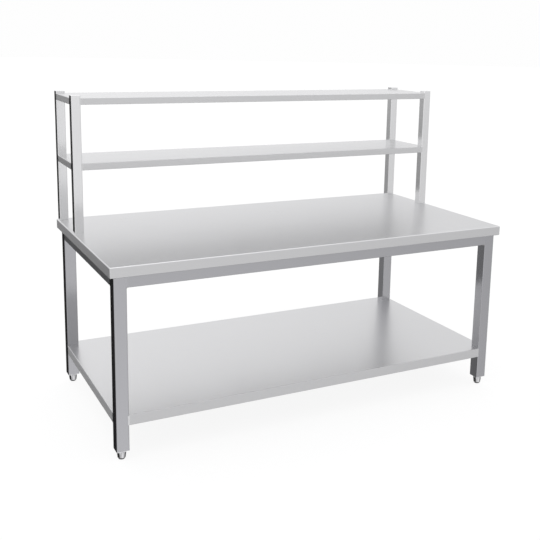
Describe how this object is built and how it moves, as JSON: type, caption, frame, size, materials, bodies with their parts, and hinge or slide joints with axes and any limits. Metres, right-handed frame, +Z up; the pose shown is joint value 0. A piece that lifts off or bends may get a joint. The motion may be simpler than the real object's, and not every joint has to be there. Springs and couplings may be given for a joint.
{
  "type": "stainless steel work table with overshelf",
  "caption": "Kitchen work table in stainless steel with a boxed worktop, square legs on screw feet, a folded undershelf and a two-tier overshelf along the back.",
  "frame": {"origin": "middle of the footprint, on the floor under the glide pads with the feet screwed fully in", "axes": "+Z up, +X along the length to the right as seen from the working side, +Y back towards the overshelf"},
  "size_m": [2, 1, 1.49],
  "materials": {
    "satin_sheet": "satin grained stainless sheet",
    "mill_sheet": "plain mill finish",
    "frame_tube": "satin, grained along the tube",
    "post_tube": "bright satin, grained along the post",
    "polished_foot": "polished",
    "plain_fastener": "plain turned steel",
    "core_board": "moisture-proof particle board",
    "insert_steel": "turned bright steel, welded into the leg",
    "pad_plastic": "moulded dark nylon"
  },
  "bodies": {
    "frame": {"leg_front_left": "frame_tube", "leg_front_right": "frame_tube", "leg_insert_front_left": "insert_steel", "leg_insert_front_right": "insert_steel", "leg_insert_rear_left": "insert_steel", "leg_insert_rear_right": "insert_steel", "leg_rear_left": "frame_tube", "leg_rear_right": "frame_tube", "middle_shelf_channel": "mill_sheet", "middle_shelf_panel": "satin_sheet", "post_base_nuts": "plain_fastener", "post_base_studs": "plain_fastener", "post_base_washers": "plain_fastener", "post_cap_front_left": "post_tube", "post_cap_front_right": "post_tube", "post_cap_rear_left": "post_tube", "post_cap_rear_right": "post_tube", "post_front_left": "post_tube", "post_front_right": "post_tube", "post_rear_left": "post_tube", "post_rear_right": "post_tube", "rail_front": "frame_tube", "rail_left": "frame_tube", "rail_rear": "frame_tube", "rail_right": "frame_tube", "shelf_cleats": "mill_sheet", "shelf_nuts": "plain_fastener", "shelf_studs": "plain_fastener", "thread_bushes": "plain_fastener", "top_shelf_channel": "mill_sheet", "top_shelf_panel": "satin_sheet", "undershelf_bracket_front_left": "mill_sheet", "undershelf_bracket_front_right": "mill_sheet", "undershelf_bracket_rear_left": "mill_sheet", "undershelf_bracket_rear_right": "mill_sheet", "undershelf_channel_1": "mill_sheet", "undershelf_channel_2": "mill_sheet", "undershelf_channel_3": "mill_sheet", "undershelf_nuts": "plain_fastener", "undershelf_panel": "satin_sheet", "undershelf_studs": "plain_fastener", "worktop_channel_1": "mill_sheet", "worktop_channel_2": "mill_sheet", "worktop_channel_3": "mill_sheet", "worktop_channel_4": "mill_sheet", "worktop_channel_5": "mill_sheet", "worktop_core": "core_board", "worktop_fixing_angles": "mill_sheet", "worktop_fixing_screws": "plain_fastener", "worktop_skin": "satin_sheet"},
    "pad_front_left": {"glide_pad_front_left": "pad_plastic"},
    "bullet_foot_front_left": {"foot_front_left": "polished_foot"},
    "pad_front_right": {"glide_pad_front_right": "pad_plastic"},
    "bullet_foot_front_right": {"foot_front_right": "polished_foot"},
    "pad_rear_left": {"glide_pad_rear_left": "pad_plastic"},
    "bullet_foot_rear_left": {"foot_rear_left": "polished_foot"},
    "pad_rear_right": {"glide_pad_rear_right": "pad_plastic"},
    "bullet_foot_rear_right": {"foot_rear_right": "polished_foot"}
  },
  "joints": [
    {"name": "foot_height_front_left", "type": "slide", "parent": "frame", "child": "pad_front_left", "axis": [0, 0, -1], "range_m": [0, 0.025]},
    {"name": "foot_turn_front_left", "type": "hinge", "parent": "pad_front_left", "child": "bullet_foot_front_left", "pos_m": [-0.9525, -0.4525, 0.034], "axis": [0, 0, -1], "range_deg": [0, 5143]},
    {"name": "foot_height_front_right", "type": "slide", "parent": "frame", "child": "pad_front_right", "axis": [0, 0, -1], "range_m": [0, 0.025]},
    {"name": "foot_turn_front_right", "type": "hinge", "parent": "pad_front_right", "child": "bullet_foot_front_right", "pos_m": [0.9525, -0.4525, 0.034], "axis": [0, 0, -1], "range_deg": [0, 5143]},
    {"name": "foot_height_rear_left", "type": "slide", "parent": "frame", "child": "pad_rear_left", "axis": [0, 0, -1], "range_m": [0, 0.025]},
    {"name": "foot_turn_rear_left", "type": "hinge", "parent": "pad_rear_left", "child": "bullet_foot_rear_left", "pos_m": [-0.9525, 0.4525, 0.034], "axis": [0, 0, -1], "range_deg": [0, 5143]},
    {"name": "foot_height_rear_right", "type": "slide", "parent": "frame", "child": "pad_rear_right", "axis": [0, 0, -1], "range_m": [0, 0.025]},
    {"name": "foot_turn_rear_right", "type": "hinge", "parent": "pad_rear_right", "child": "bullet_foot_rear_right", "pos_m": [0.9525, 0.4525, 0.034], "axis": [0, 0, -1], "range_deg": [0, 5143]}
  ],
  "couplings": [
    {"joint": "foot_turn_front_left", "follows": "foot_height_front_left", "rad_per_m": 3590.4},
    {"joint": "foot_turn_front_right", "follows": "foot_height_front_right", "rad_per_m": 3590.4},
    {"joint": "foot_turn_rear_left", "follows": "foot_height_rear_left", "rad_per_m": 3590.4},
    {"joint": "foot_turn_rear_right", "follows": "foot_height_rear_right", "rad_per_m": 3590.4}
  ]
}
